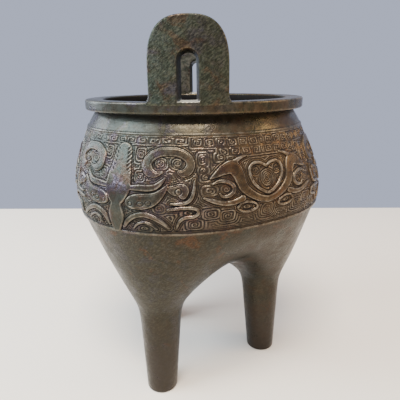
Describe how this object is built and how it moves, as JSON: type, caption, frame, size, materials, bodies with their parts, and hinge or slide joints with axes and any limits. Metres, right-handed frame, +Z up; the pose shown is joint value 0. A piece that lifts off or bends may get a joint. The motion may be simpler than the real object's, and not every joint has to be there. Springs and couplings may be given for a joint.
{
  "type": "bronze ding vessel",
  "caption": "Cast bronze cauldron with a lobed bowl that flows into tapered legs, a flat rim with upright slotted ears, and a band of masks in relief.",
  "frame": {"origin": "on the ground under the middle of the box around the vessel", "axes": "+Z up, from the feet to the tops of the ears; the ears stand to the front (-Y) and the back (+Y)"},
  "size_m": [0.1872, 0.1874, 0.2655],
  "materials": {
    "patinated_bronze": "satin, dark olive-brown patina"
  },
  "bodies": {
    "root": {"ding_vessel": "patinated_bronze"}
  },
  "joints": []
}
